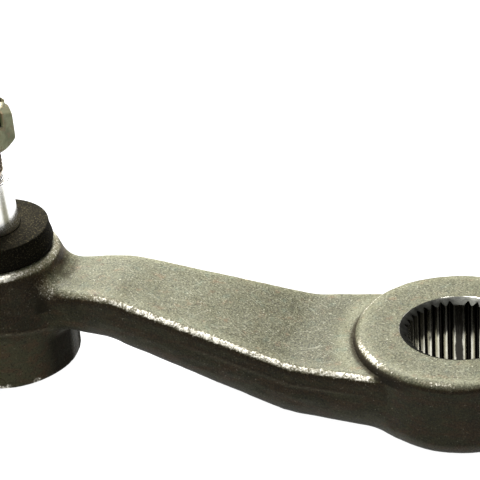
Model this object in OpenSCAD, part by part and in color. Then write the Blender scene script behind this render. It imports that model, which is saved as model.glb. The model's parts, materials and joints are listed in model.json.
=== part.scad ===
// Steering pitman arm: a forged arm with a serrated boss and a greasable ball-stud joint.
// Millimetres. The origin is on the serrated bore's axis, in the boss's lower face.

/* [Boss] */
// Outside diameter of the boss
boss_d = 60.6; // [56:0.2:70]
// Height of the boss
boss_h = 24.4; // [22:0.1:30]
// Height of the boss's top face above the arm's top face
boss_step = 3.5; // [2:0.1:5]
// Rounding of the boss's top edge
boss_top_r = 1.6; // [0.5:0.1:2]
// Rounding of the boss's bottom edge
boss_bottom_r = 4.5; // [1:0.1:6]

/* [Serrations] */
// Number of serration pitches round the bore
serrations = 36; // [24:4:48]
// Number of wide master teeth, each in place of one groove
masters = 4; // [1:1:4]
// Diameter at the floors of the grooves
serration_major_d = 31.75; // [30.5:0.05:33]
// Diameter at the tips of the teeth
serration_minor_d = 29.3; // [27:0.05:30]
// Share of a pitch that a groove's mouth takes
groove_mouth = 0.78; // [0.5:0.01:0.9]
// Share of a pitch that a groove's floor takes
groove_floor = 0.12; // [0.05:0.01:0.4]
// Turn of the first master tooth from the +X axis, in degrees
master_turn = 7.4; // [0:0.1:90]
// Diameter of the countersink at each end of the bore
countersink_d = 34.4; // [33.2:0.1:38]
// Angle of the countersink's wall from the boss's face, in degrees
countersink_deg = 30; // [20:1:60]

/* [Arm] */
// Distance from the bore's axis to the ball stud's axis
centre_distance = 139.7; // [125:0.1:170]
// Rise of the arm's top face from the boss to the socket
arm_rise = 14.2; // [4:0.1:15.5]
// Distance of the lower bend from the bore's axis
boss_straight = 45.8; // [40:0.1:52]
// Distance of the upper bend from the stud's axis
socket_straight = 39.5; // [34:0.1:45]
// Half length of each bend
bend_reach = 3; // [1:0.5:5]
// Width of the arm at the parting line, carried on to the bore's axis
arm_w_boss = 55.2; // [46:0.2:58]
// Width of the arm at the parting line, carried on to the stud's axis
arm_w_socket = 19.4; // [16:0.2:28]
// Thickness of the arm, square to its top face, carried on to the bore's axis
arm_t_boss = 19.8; // [15:0.1:20]
// Thickness of the arm, square to its top face, carried on to the stud's axis
arm_t_socket = 13.5; // [11:0.1:15]
// Rounding of the arm's upper long edges
upper_edge_r = 3; // [1:0.1:4]
// Rounding of the arm's lower long edges
lower_edge_r = 5; // [1:0.1:5.4]
// Forging draft of the arm's flanks, in degrees
draft_deg = 5; // [1:0.5:8]
// Reach of the blend from the arm to the boss
boss_blend = 1.8; // [1:0.1:3.2]
// Reach of the blend from the arm to the socket
socket_blend = 5; // [2:0.1:6]

/* [Socket] */
// Outside diameter of the socket at its parting line
socket_d = 44.6; // [44:0.1:48]
// Forging draft of the socket's wall above the parting line, in degrees
socket_upper_draft_deg = 7; // [1:0.1:7]
// Forging draft of the socket's wall below the parting line, in degrees
socket_lower_draft_deg = 1; // [0:0.1:3]
// Height of the socket
socket_h = 37.3; // [36:0.1:42]
// Height of the socket's bottom above the boss's lower face
socket_z = 4.9; // [3:0.1:7]
// Height of the parting line above the socket's bottom
socket_part_h = 18.9; // [15:0.1:22]
// Rounding of the socket's top edge
socket_top_r = 2.8; // [1:0.1:3]
// Rounding of the socket's bottom edge
socket_bottom_r = 1.5; // [0.5:0.1:2.5]
// Diameter of the socket's bore
socket_bore_d = 33; // [32:0.1:34]
// Thickness of the roof over the race
roof_t = 4.3; // [3:0.1:5.5]

/* [Ball joint] */
// Depth of the ball's centre below the socket's top
ball_depth = 13.8; // [13:0.1:15]
// Diameter of the half ball
ball_d = 26; // [24:0.1:27.5]
// Depth of the half ball's flat face below the ball's centre
half_ball_skirt = 1.5; // [0.5:0.1:2]
// Largest lean of the stud to each side, in degrees
lean_max = 20; // [12:1:21]
// Diameter of the stud's round head
head_d = 22.4; // [20:0.1:23.5]
// Clearance between surfaces that slide on each other
slide_gap = 0.08; // [0.03:0.01:0.1]
// Clearance of the leaning stud in the socket's mouth
lean_gap = 0.5; // [0.3:0.1:0.8]

/* [Stud] */
// Diameter of the stud's neck
neck_d = 13.6; // [12:0.1:14]
// Diameter of the taper's large end
taper_d = 18; // [17:0.1:18.6]
// Length of the taper
taper_len = 17.8; // [14:0.1:20]
// Fall of the taper's diameter over its length
taper_rate = 0.125; // [0.08:0.005:0.17]
// Length of the cone from the neck out to the taper
shoulder_len = 1.6; // [1:0.1:3]
// Diameter of the thread
thread_d = 12.7; // [11:0.1:14]
// Length of the thread with its relief
thread_len = 25.5; // [22:0.1:32]
// Width of the relief under the thread
relief_len = 1.6; // [1:0.1:3]
// Depth of the relief below the thread
relief_depth = 0.6; // [0.3:0.1:1]
// Diameter of the hole for a cotter pin
cotter_d = 3.6; // [2:0.1:4]
// Distance of that hole from the stud's end
cotter_from_end = 5.6; // [4:0.1:12]

/* [Nut] */
// Width of the nut across its flats
nut_af = 20.64; // [18:0.01:24]
// Height of the nut
nut_h = 13.2; // [11:0.1:16]
// Length of thread that stands out above the nut
nut_below_end = 2; // [0:0.1:4]
// Width of the nut's slots
slot_w = 4; // [2:0.1:5]
// Depth of the nut's slots
slot_depth = 5.4; // [3:0.1:6.4]
// Inset of the nut's upper face from its flats
nut_top_inset = 1.3; // [0.2:0.1:1.5]
// Inset of the nut's lower face from its flats
nut_bottom_inset = 0.9; // [0.2:0.1:1.5]
// Turn of one corner of the nut from the +X axis, in degrees
nut_turn = 6; // [-30:1:30]
// Clearance of the nut's bore on the thread
thread_gap = 0.05; // [0.02:0.01:0.1]

/* [Seal] */
// Height of the seal
seal_h = 7.4; // [6:0.1:9]
// Diameter of the seal's flat top
seal_top_d = 34.6; // [30:0.1:36]
// Diameter of the seal where it bulges most
seal_bulge_d = 36.8; // [35:0.1:38]
// Thickness of the lip round the stud
seal_lip_t = 2.2; // [1.5:0.1:3]
// Clearance of the lip round the stud's taper
seal_gap = 0.3; // [0.2:0.05:0.5]
// Width of the slope round the seal's top
seal_rim_w = 0.3; // [0.1:0.1:0.8]
// Height of the slope round the seal's top
seal_rim_h = 0.6; // [0.2:0.1:1]
// Inset of the seal's foot from its bulge
seal_foot_inset = 0.9; // [0.2:0.1:1.2]
// Fall of the lip's underside from the stud to the seal's wall
seal_lip_fall = 1; // [0.4:0.1:2]

/* [Preload] */
// Depth of the seat's rim below the ball's centre
seat_rim_depth = 6.6; // [6.4:0.1:7]
// Thickness of the seat's flange
seat_flange_t = 4; // [3:0.1:4.5]
// Diameter of the seat's hub
seat_hub_d = 17; // [14:0.1:18]
// Depth of the hub below the flange
seat_hub_h = 3.6; // [3:0.1:4]
// Diameter of the grease hole through the seat
seat_hole_d = 3; // [2:0.1:5]
// Diameter of the preload spring's wire
spring_wire_d = 1.8; // [1.4:0.1:1.9]
// Mean diameter of the preload spring at the cover plate
spring_wide_d = 27; // [26:0.1:29]
// Mean diameter of the preload spring at the seat
spring_narrow_d = 19.6; // [19:0.1:20]
// Turns of the preload spring
spring_turns = 2.6; // [2.4:0.1:2.8]

/* [Cover and grease fitting] */
// Thickness of the cover plate
cover_t = 3; // [2.5:0.1:3.4]
// Depth of the cover plate above the socket's bottom
cover_recess = 3; // [2.4:0.1:3.5]
// Width of the ledge that the cover plate seats on
ledge_w = 1.5; // [1:0.1:2]
// Overlap of the swaged lip under the cover plate
lip_w = 1.8; // [1:0.1:2.5]
// Flare of the swaged lip towards the socket's bottom
lip_flare = 0.5; // [0.2:0.1:1]
// Diameter of the grease fitting's shank
shank_d = 6.2; // [5:0.1:7]
// Length of the grease fitting's shank
shank_len = 5; // [4:0.1:6]
// Width of the grease fitting's hex across its flats
fitting_af = 7.94; // [7:0.01:10]
// Height of the grease fitting's hex
fitting_hex_h = 3.2; // [2.5:0.1:4]
// Length of the grease fitting's nipple
nipple_len = 5.3; // [4.5:0.1:6]
// Largest diameter of the nipple
nipple_d = 6.6; // [6:0.1:7]
// Diameter of the nipple's waist
waist_d = 4.9; // [4.4:0.1:5.4]
// Diameter of the check ball
check_ball_d = 2.4; // [2:0.1:2.6]
// Diameter of the check spring's wire
check_wire_d = 0.4; // [0.3:0.05:0.5]
// Turns of the check spring
check_turns = 6; // [5:1:7]
// Diameter of the fitting's orifice
orifice_d = 1.68; // [1.4:0.02:1.8]
// Length of the fitting's orifice
orifice_len = 0.6; // [0.4:0.1:0.8]
// Thickness of the crimp behind the check spring
crimp_t = 0.8; // [0.5:0.1:1]

/* [Hidden] */
$fn = 96;

// How far a cutting shape runs past the face that it cuts
over = 1;
// How far a turned outline stays outside a corner that it leaves whole
clear = 0.1;
// Steps in a quarter-round edge
edge_steps = 6;
// Half the angle between two corners of a hexagon
hex_half_deg = 30;

// Boss
boss_r = boss_d / 2;
arm_top_at_boss = boss_h - boss_step;

// Socket and ball joint, as heights above the boss's lower face
socket_r = socket_d / 2;
socket_top = socket_z + socket_h;
socket_part_z = socket_z + socket_part_h;
function socket_wall_r(z) = socket_r - max(
    (z - socket_part_z) * tan(socket_upper_draft_deg),
    (socket_part_z - z) * tan(socket_lower_draft_deg));
ball_z = socket_top - ball_depth;
bore_r = socket_bore_d / 2;
roof_z = socket_top - roof_t;
cover_bottom = socket_z + cover_recess;
cover_top = cover_bottom + cover_t;
cover_r = bore_r + ledge_w;

// The stud leans about the ball's centre, so its mouth opens with height
ball_r = ball_d / 2;
head_r = head_d / 2;
neck_r = neck_d / 2;
function mouth_r(z) = (z - ball_z) * tan(lean_max) + neck_r / cos(lean_max) + lean_gap;

// The neck and the taper start high enough to clear the socket's top when they lean
neck_top = ball_z + (ball_depth + lean_gap + neck_r * sin(lean_max)) / cos(lean_max);
taper_z = neck_top + shoulder_len;
thread_z = taper_z + taper_len;
stud_end = thread_z + thread_len;
thread_r = thread_d / 2;
function taper_r(z) = (taper_d - (z - taper_z) * taper_rate) / 2;

// Nut
nut_top = stud_end - nut_below_end;
nut_z = nut_top - nut_h;

// Preload parts
seat_rim_z = ball_z - seat_rim_depth;
seat_flange_z = seat_rim_z - seat_flange_t;

// Grease fitting, which hangs under the cover plate
hex_z = cover_bottom - fitting_hex_h;
nipple_tip = hex_z - nipple_len;
check_ball_r = check_ball_d / 2;
passage_r = check_ball_r + slide_gap;
orifice_r = orifice_d / 2;
check_ball_z = nipple_tip + orifice_len + check_ball_r;
shank_top = cover_bottom + shank_len;

// Points of an arc in the plane, from one angle to another
function arc(cx, cy, r, a0, a1, n = edge_steps) =
    [for (i = [0:n]) let (a = a0 + (a1 - a0) * i / n) [cx + r * cos(a), cy + r * sin(a)]];

// Distance from the axis to the centre of a rounding, at the end of a drafted wall of height h
function rounding_x(r, draft, h, edge_r) = r - (edge_r + (h - edge_r) * sin(draft)) / cos(draft);

// Half profile of a round block with rounded edges, drafted both ways from its parting line
function block_profile(r, part_z, z0, bottom_draft, bottom_r, z1, top_draft, top_r) = concat(
    [[0, z0]],
    arc(rounding_x(r, bottom_draft, part_z - z0, bottom_r), z0 + bottom_r, bottom_r, -90, -bottom_draft),
    [[r, part_z]],
    arc(rounding_x(r, top_draft, z1 - part_z, top_r), z1 - top_r, top_r, top_draft, 90),
    [[0, z1]]);

// Triangles of a skin over rings of n points each, closed by a fan at each end
function skin_faces(rings, n) = concat(
    [for (j = [0:rings - 2], i = [0:n - 1]) let (k = (i + 1) % n) [j * n + i, (j + 1) * n + i, j * n + k]],
    [for (j = [0:rings - 2], i = [0:n - 1]) let (k = (i + 1) % n) [j * n + k, (j + 1) * n + i, (j + 1) * n + k]],
    [[for (i = [0:n - 1]) i]],
    [[for (i = [n - 1:-1:0]) (rings - 1) * n + i]]);

module at_stud() {
    translate([-centre_distance, 0, 0]) children();
}

// The arm's shape at a distance x along it, where the bore's axis is at 0 and the stud's at -centre_distance.
// The arm is level at both ends and slopes evenly between its two bends.
upper_bend_x = socket_straight - centre_distance;
lower_bend_x = -boss_straight;
arm_slope = arm_rise / (lower_bend_x - upper_bend_x);
function turned(x, bend_x) = min(1, max(0, (x - bend_x + bend_reach) / (2 * bend_reach)));
function past(x, bend_x) = bend_reach * pow(turned(x, bend_x), 2) + max(0, x - bend_x - bend_reach);
function fall(x) = arm_slope * (past(x, upper_bend_x) - past(x, lower_bend_x));
function slope(x) = arm_slope * (turned(x, upper_bend_x) - turned(x, lower_bend_x));
function arm_top(x) = arm_top_at_boss + arm_rise - fall(x);
function along(x, at_boss, at_socket) = at_boss + (at_socket - at_boss) * -x / centre_distance;
function half_t(x) = along(x, arm_t_boss, arm_t_socket) * norm([1, slope(x)]) / 2;
function half_w(x) = along(x, arm_w_boss, arm_w_socket) / 2;

// A blend swells the section as it nears a round part of radius r, whose axis lies at axis_x.
// The blend starts a little inside the wall, so that the two surfaces cross at a clear angle.
bite = 0.4;
function quarter(d, reach) = d >= reach ? 0 : reach - sqrt(reach * reach - pow(reach - max(d, bite), 2));
function face_blend(x, y, axis_x, r, reach) = quarter(norm([x - axis_x, y]) - r + bite, reach);
function flank_blend(x, w, axis_x, r, reach) = let (
        wall = r - bite,
        end = sqrt(max(0, pow(wall + reach, 2) - pow(w + reach, 2))),
        from = max(abs(x - axis_x), end * wall / (wall + reach)))
    from >= end ? 0 : reach - sqrt(reach * reach - pow(end - from, 2));

// Swelling of a point whose outward direction is a degrees from the flank's. At the boss only the top swells.
function swell(x, y, w, a, axis_x, r, reach) =
    pow(sin(a), 2) * face_blend(x, y, axis_x, r, reach) + pow(cos(a), 2) * flank_blend(x, w, axis_x, r, reach);
function swell_at_boss(x, y, w, a) = sin(a) < 0 ? 0 : swell(x, y, w, a, 0, boss_r, boss_blend);
function swell_at_socket(x, y, w, a) = let (z = arm_top(x) - half_t(x) * (1 - sin(a)))
    swell(x, y, w, a, -centre_distance, socket_wall_r(z), socket_blend);

// Directions in the arm's section, in degrees
right = 0;
up = 90;
left = 180;
down = 270;
full_turn = 360;

// One rounded corner of the section, as points with the direction that each one faces
corner_steps = 4;
face_steps = 6;
function corner(x, r, a0, a1) = let (
        in = r * cos(draft_deg) + (half_t(x) - r * (1 - sin(draft_deg))) * tan(draft_deg),
        cx = sign(cos((a0 + a1) / 2)) * (half_w(x) - in),
        cz = sign(sin((a0 + a1) / 2)) * (half_t(x) - r))
    [for (p = arc(cx, cz, r, a0, a1, corner_steps)) [p[0], p[1], atan2(p[1] - cz, p[0] - cx)]];

// The points of a flat face between two corners, so that the blend can follow the round parts
function face(from, to) = [for (i = [1:face_steps - 1])
    [from[0] + (to[0] - from[0]) * i / face_steps, from[1], from[2]]];

function section(x) = let (
        w = half_w(x),
        mid = arm_top(x) - half_t(x),
        c1 = corner(x, upper_edge_r, right + draft_deg, up),
        c2 = corner(x, upper_edge_r, up, left - draft_deg),
        c3 = corner(x, lower_edge_r, left + draft_deg, down),
        c4 = corner(x, lower_edge_r, down, full_turn - draft_deg),
        flat = concat([[w, 0, right]], c1, face(c1[corner_steps], c2[0]), c2,
                      [[-w, 0, left]], c3, face(c3[corner_steps], c4[0]), c4))
    [for (p = flat) let (
            s = max(swell_at_socket(x, p[0], w, p[2]), swell_at_boss(x, p[0], w, p[2])))
        [x, p[0] + s * cos(p[2]), mid + p[1] + s * sin(p[2])]];

// Stations along the arm, close together at the bends and where it blends into the socket and the boss.
// The loft starts and ends inside the round parts, at these shares of their radii.
into_socket = 0.62;
into_boss = 0.5;
fine_step = 1.2;
coarse_step = 5;
function spread(a, b, step) = let (n = ceil((b - a) / step)) [for (i = [0:n - 1]) a + (b - a) * i / n];
socket_inner_x = socket_r * into_socket - centre_distance;
socket_outer_x = socket_r + socket_blend - centre_distance;
boss_outer_x = -boss_r - boss_blend;
boss_inner_x = -boss_r * into_boss;
stations = concat(
    spread(socket_inner_x, socket_outer_x, fine_step),
    spread(socket_outer_x, upper_bend_x - bend_reach, coarse_step),
    spread(upper_bend_x - bend_reach, upper_bend_x + bend_reach, fine_step),
    spread(upper_bend_x + bend_reach, lower_bend_x - bend_reach, coarse_step),
    spread(lower_bend_x - bend_reach, lower_bend_x + bend_reach, fine_step),
    spread(lower_bend_x + bend_reach, boss_outer_x, coarse_step),
    spread(boss_outer_x, boss_inner_x, fine_step),
    [boss_inner_x]);

module arm_loft() {
    rings = [for (x = stations) section(x)];
    polyhedron(points = [for (r = rings, p = r) p], faces = skin_faces(len(rings), len(rings[0])));
}

// Outline of the serrated bore: grooves round the minor circle, with a master tooth in place of some
module serration_outline() {
    pitch = full_turn / serrations;
    major_r = serration_major_d / 2;
    minor_r = serration_minor_d / 2;
    groove = [[minor_r, -groove_mouth / 2], [major_r, -groove_floor / 2],
              [major_r, groove_floor / 2], [minor_r, groove_mouth / 2]];
    polygon([for (i = [0:serrations - 1])
        for (p = i % (serrations / masters) == 0 ? [[minor_r, 0]] : groove)
            let (a = master_turn + (i + p[1]) * pitch) [p[0] * cos(a), p[0] * sin(a)]]);
}

module serrated_bore() {
    depth = countersink_d / 2 * tan(countersink_deg);
    translate([0, 0, -over]) linear_extrude(boss_h + 2 * over) serration_outline();
    translate([0, 0, boss_h - depth]) cylinder(h = depth, r1 = 0, r2 = countersink_d / 2);
    cylinder(h = depth, r1 = countersink_d / 2, r2 = 0);
}

// Space inside the socket: the mouth, the bore, the cover plate's groove and the swaged lip
module socket_space() {
    lip_r = cover_r - lip_w;
    rotate_extrude() polygon([
        [0, socket_z - over], [lip_r + lip_flare, socket_z - over], [lip_r + lip_flare, socket_z],
        [lip_r, cover_bottom], [cover_r, cover_bottom], [cover_r, cover_top],
        [bore_r, cover_top], [bore_r, roof_z], [mouth_r(roof_z), roof_z],
        [mouth_r(socket_top), socket_top], [mouth_r(socket_top), socket_top + over], [0, socket_top + over]]);
}

module arm_forging() {
    color([0.42, 0.42, 0.36]) difference() {
        union() {
            arm_loft();
            rotate_extrude()
                polygon(block_profile(boss_r, boss_h / 2, 0, 0, boss_bottom_r, boss_h, 0, boss_top_r));
            at_stud() rotate_extrude()
                polygon(block_profile(socket_r, socket_part_z,
                                      socket_z, socket_lower_draft_deg, socket_bottom_r,
                                      socket_top, socket_upper_draft_deg, socket_top_r));
        }
        serrated_bore();
        at_stud() socket_space();
    }
}

// Ring under the roof, with a spherical seat that ends where the leaning neck needs room
module upper_race() {
    race_r = bore_r - slide_gap;
    race_top = roof_z - slide_gap;
    color([0.55, 0.55, 0.56]) at_stud() difference() {
        translate([0, 0, ball_z]) cylinder(h = race_top - ball_z, r = race_r);
        translate([0, 0, ball_z]) sphere(r = ball_r + slide_gap);
        translate([0, 0, ball_z]) cylinder(h = ball_depth, r1 = mouth_r(ball_z), r2 = mouth_r(socket_top));
    }
}

module half_ball() {
    color([0.62, 0.62, 0.63]) at_stud() difference() {
        translate([0, 0, ball_z]) sphere(r = ball_r);
        translate([0, 0, ball_z - ball_d]) cylinder(h = ball_d - half_ball_skirt, r = ball_d);
        translate([0, 0, ball_z - ball_d]) cylinder(h = 2 * ball_d, r = neck_r + slide_gap);
    }
}

module ball_stud() {
    shoulder_z = ball_z - half_ball_skirt - slide_gap;
    relief_r = thread_r - relief_depth;
    chamfer = 1;
    color([0.8, 0.8, 0.8]) at_stud() difference() {
        union() {
            intersection() {
                translate([0, 0, ball_z]) sphere(r = head_r);
                translate([0, 0, ball_z - ball_d]) cylinder(h = shoulder_z - ball_z + ball_d, r = ball_d);
            }
            rotate_extrude() polygon([
                [0, shoulder_z - over], [neck_r, shoulder_z - over], [neck_r, neck_top],
                [taper_r(taper_z), taper_z], [taper_r(thread_z), thread_z],
                [relief_r, thread_z], [relief_r, thread_z + relief_len],
                [thread_r, thread_z + relief_len + relief_depth],
                [thread_r, stud_end - chamfer], [thread_r - chamfer, stud_end], [0, stud_end]]);
        }
        translate([0, 0, stud_end - cotter_from_end]) rotate([90, 0, nut_turn])
            cylinder(h = 2 * thread_d, d = cotter_d, center = true);
    }
}

// Slotted hex nut: each slot crosses the middle of two opposite flats
module castle_nut() {
    flat_r = nut_af / 2;
    corner_r = flat_r / cos(hex_half_deg);
    rise = corner_r - flat_r + nut_top_inset;
    color([0.5, 0.52, 0.44]) at_stud() rotate(nut_turn) difference() {
        intersection() {
            translate([0, 0, nut_z]) cylinder(h = nut_h, r = corner_r, $fn = 6);
            rotate_extrude() polygon([
                [0, nut_z], [flat_r - nut_bottom_inset, nut_z], [corner_r + clear, nut_z + rise],
                [corner_r + clear, nut_top - rise], [flat_r - nut_top_inset, nut_top], [0, nut_top]]);
        }
        translate([0, 0, nut_z - over]) cylinder(h = nut_h + 2 * over, r = thread_r + thread_gap);
        for (i = [0:2]) rotate((2 * i + 1) * hex_half_deg)
            translate([-nut_af, -slot_w / 2, nut_top - slot_depth]) cube([2 * nut_af, slot_w, slot_depth + over]);
    }
}

// Rubber ring on the socket's rim: thick lip round the stud, hollow under the lip for the stud's lean
module dust_seal() {
    seal_z = socket_top + slide_gap;
    seal_top = seal_z + seal_h;
    top_r = seal_top_d / 2;
    bulge_r = seal_bulge_d / 2;
    lip_r = taper_r(taper_z) + seal_gap;
    lip_z = seal_top - seal_lip_t;
    foot_r = mouth_r(socket_top) + seal_gap;
    color([0.1, 0.1, 0.08]) at_stud() rotate_extrude() polygon([
        [foot_r, seal_z], [bulge_r - seal_foot_inset, seal_z], [bulge_r, seal_z + seal_h / 4],
        [(bulge_r + top_r) / 2, seal_z + seal_h / 2], [top_r, seal_top - seal_h / 4],
        [top_r, seal_top - seal_rim_h], [top_r - seal_rim_w, seal_top], [lip_r, seal_top],
        [lip_r, lip_z], [foot_r, lip_z - seal_lip_fall]]);
}

module pressure_seat() {
    hub_r = seat_hub_d / 2;
    flange_r = bore_r - slide_gap;
    hub_z = seat_flange_z - seat_hub_h;
    color([0.5, 0.5, 0.5]) at_stud() difference() {
        rotate_extrude() polygon([
            [seat_hole_d / 2, hub_z], [hub_r, hub_z], [hub_r, seat_flange_z],
            [flange_r, seat_flange_z], [flange_r, seat_rim_z], [seat_hole_d / 2, seat_rim_z]]);
        translate([0, 0, ball_z]) sphere(r = head_r + slide_gap);
    }
}

// Coil of wire set square to its ends, with a flat stretch of turn at each end
flat_turn = 0.4;
module coil(r0, r1, wire_d, z0, z1, turns, sides, per_turn) {
    half_side = full_turn / sides / 2;
    wire_r = wire_d / 2 / cos(half_side);
    low = z0 + wire_d / 2;
    high = z1 - wire_d / 2;
    rings = [for (j = [0:turns * per_turn]) let (
            t = j / per_turn,
            mean_r = r0 + (r1 - r0) * t / turns,
            z = low + (high - low) * min(1, max(0, (t - flat_turn) / (turns - 2 * flat_turn))))
        [for (i = [0:sides - 1]) let (b = (2 * i + 1) * half_side, r = mean_r + wire_r * cos(b))
            [r * cos(full_turn * t), r * sin(full_turn * t), z + wire_r * sin(b)]]];
    polyhedron(points = [for (r = rings, p = r) p], faces = skin_faces(len(rings), sides));
}

module preload_spring() {
    color([0.35, 0.35, 0.36]) at_stud()
        coil(spring_wide_d / 2, spring_narrow_d / 2, spring_wire_d, cover_top, seat_flange_z,
             spring_turns, sides = 8, per_turn = 20);
}

// Plate that seats on the ledge and is held by the swaged lip
module cover_plate() {
    color([0.48, 0.48, 0.44]) at_stud() difference() {
        translate([0, 0, cover_bottom]) cylinder(h = cover_t, r = cover_r - slide_gap);
        translate([0, 0, cover_bottom - over]) cylinder(h = cover_t + 2 * over, r = shank_d / 2 + thread_gap);
    }
}

// Nipple with a hex, a waist for the grease gun's jaws, and a passage for the check ball
module grease_fitting() {
    waist_r = waist_d / 2;
    nipple_r = nipple_d / 2;
    tip_r = (waist_r + orifice_r) / 2;
    jaw_slope = nipple_r - waist_r;
    waist_h = nipple_len / 4;
    head_top = hex_z - waist_h - jaw_slope;
    color([0.68, 0.67, 0.6]) at_stud() difference() {
        union() {
            translate([0, 0, hex_z]) cylinder(h = fitting_hex_h, r = fitting_af / 2 / cos(hex_half_deg), $fn = 6);
            rotate_extrude() polygon([
                [0, nipple_tip], [tip_r, nipple_tip], [waist_r, nipple_tip + orifice_len],
                [nipple_r, head_top - jaw_slope], [nipple_r, head_top],
                [waist_r, head_top + jaw_slope], [waist_r, hex_z + over], [0, hex_z + over]]);
            translate([0, 0, hex_z + over]) cylinder(h = shank_top - hex_z - over, r = shank_d / 2);
        }
        rotate_extrude() polygon([
            [0, nipple_tip - over], [orifice_r, nipple_tip - over], [orifice_r, nipple_tip + orifice_len],
            [passage_r, check_ball_z], [passage_r, shank_top - crimp_t], [orifice_r, shank_top - crimp_t],
            [orifice_r, shank_top + over], [0, shank_top + over]]);
    }
}

module fitting_ball() {
    color([0.75, 0.75, 0.75]) at_stud() translate([0, 0, check_ball_z + slide_gap]) sphere(r = check_ball_r);
}

module fitting_spring() {
    coil_r = check_ball_r - check_wire_d;
    color([0.6, 0.6, 0.6]) at_stud()
        coil(coil_r, coil_r, check_wire_d, check_ball_z + check_ball_r + slide_gap, shank_top - crimp_t,
             check_turns, sides = 6, per_turn = 10);
}

arm_forging();
upper_race();
half_ball();
ball_stud();
castle_nut();
dust_seal();
pressure_seat();
preload_spring();
cover_plate();
grease_fitting();
fitting_ball();
fitting_spring();
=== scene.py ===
# %% [markdown]
# A pitman arm is the lever of a steering box. Its serrated boss sits on the box's shaft, and the ball
# stud at its other end pulls the steering linkage from side to side. The arm and the ball's socket are
# one steel forging. This lesson dresses the CAD model of it: the rigid pieces keep their sizes, and get
# the fillets, threads and finishes that a photograph of the real arm shows.

# %% Load the CAD model
import json
import math

import bpy
import numpy as np
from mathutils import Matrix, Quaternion, Vector


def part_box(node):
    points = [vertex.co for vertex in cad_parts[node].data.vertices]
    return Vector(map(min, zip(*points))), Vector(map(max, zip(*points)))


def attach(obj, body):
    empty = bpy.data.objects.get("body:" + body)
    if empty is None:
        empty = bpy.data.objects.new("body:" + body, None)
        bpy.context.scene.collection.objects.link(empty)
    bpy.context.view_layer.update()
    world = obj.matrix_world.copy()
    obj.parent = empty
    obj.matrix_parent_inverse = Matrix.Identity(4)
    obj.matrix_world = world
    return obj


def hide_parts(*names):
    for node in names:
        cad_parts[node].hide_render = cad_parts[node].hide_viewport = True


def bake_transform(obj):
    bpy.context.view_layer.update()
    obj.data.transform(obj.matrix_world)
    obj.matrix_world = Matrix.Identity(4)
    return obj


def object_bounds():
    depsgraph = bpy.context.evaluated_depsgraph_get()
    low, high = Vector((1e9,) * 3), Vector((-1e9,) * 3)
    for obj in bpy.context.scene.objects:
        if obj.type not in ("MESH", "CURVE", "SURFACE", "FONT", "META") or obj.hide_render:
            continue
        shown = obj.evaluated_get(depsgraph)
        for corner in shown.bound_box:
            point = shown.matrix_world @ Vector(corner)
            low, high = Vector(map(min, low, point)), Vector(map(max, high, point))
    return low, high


mm = 0.001
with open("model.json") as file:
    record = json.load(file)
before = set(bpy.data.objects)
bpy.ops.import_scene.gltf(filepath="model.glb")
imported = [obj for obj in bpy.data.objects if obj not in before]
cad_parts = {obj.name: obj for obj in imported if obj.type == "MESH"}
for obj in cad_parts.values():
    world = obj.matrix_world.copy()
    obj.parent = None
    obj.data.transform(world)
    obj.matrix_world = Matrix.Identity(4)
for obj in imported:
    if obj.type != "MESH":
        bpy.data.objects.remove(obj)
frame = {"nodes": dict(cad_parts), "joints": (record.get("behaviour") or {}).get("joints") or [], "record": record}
cad_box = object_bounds()
nodes = frame["nodes"]
mounts = {m["name"]: Vector(m["pos_m"]) for m in frame["record"]["mounts"]}
ball = Vector(frame["joints"][0]["pos_m"])
boss_top = Vector((0, 0, mounts["shoulder_face"].z))
print("CAD nodes:", ", ".join(sorted(nodes)))

# %% [markdown]
# Every step below selects one object and works on it with Blender's own operators. An operator acts on
# all that is selected, so these helpers first clear the selection, and leave one object active.


# %% Selecting and finishing
def pick(obj):
    """Only obj is selected, and it is the active object."""
    bpy.ops.object.select_all(action="DESELECT")
    obj.select_set(True)
    bpy.context.view_layer.objects.active = obj
    return obj


def new_piece(name):
    """The primitive that was just added, under its name."""
    obj = bpy.context.object
    obj.name = obj.data.name = name
    return obj


def modify(obj, kind, **settings):
    """Adds a modifier, sets it and applies it."""
    pick(obj)
    bpy.ops.object.modifier_add(type=kind)
    modifier = obj.modifiers[-1]
    for key, value in settings.items():
        setattr(modifier, key, value)
    bpy.ops.object.modifier_apply(modifier=modifier.name)


def remove(*objs):
    for obj in objs:
        bpy.data.objects.remove(obj, do_unlink=True)


def carve(obj, cutter, operation="DIFFERENCE"):
    """Cuts cutter from obj, or keeps what they share. The cut faces take the cutter's material."""
    modify(obj, "BOOLEAN", object=cutter, operation=operation, solver="EXACT", material_mode="TRANSFER")
    remove(cutter)


def edit(obj, *steps):
    """Runs edit-mode operators on all of obj's mesh, each with its settings."""
    pick(obj)
    bpy.ops.object.mode_set(mode="EDIT")
    for operator, settings in steps:
        bpy.ops.mesh.select_all(action="SELECT")
        operator(**settings)
    bpy.ops.object.mode_set(mode="OBJECT")


def rest_at_origin(obj):
    """Moves an object's place, turn and scale into its mesh."""
    pick(obj)
    bpy.ops.object.transform_apply(location=True, rotation=True, scale=True)
    return obj


def smooth(obj, degrees):
    """Smooth shading, with edges sharper than this angle left sharp."""
    pick(obj)
    bpy.ops.object.shade_smooth_by_angle(angle=math.radians(degrees))


def points_of(obj):
    """The mesh's points as an array."""
    points = np.empty(len(obj.data.vertices) * 3)
    obj.data.vertices.foreach_get("co", points)
    return points.reshape(-1, 3)


def set_points(obj, points):
    obj.data.vertices.foreach_set("co", points.ravel())
    obj.data.update()


def triangles(obj):
    return sum(len(p.vertices) - 2 for p in obj.data.polygons)


# %% [markdown]
# The camera stands a little to the right of the arm and looks down on it. Its place is found from the
# centre of the boss's top face, and it is turned until that point falls where the photograph has it,
# so the picture needs no lens shift.

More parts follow.
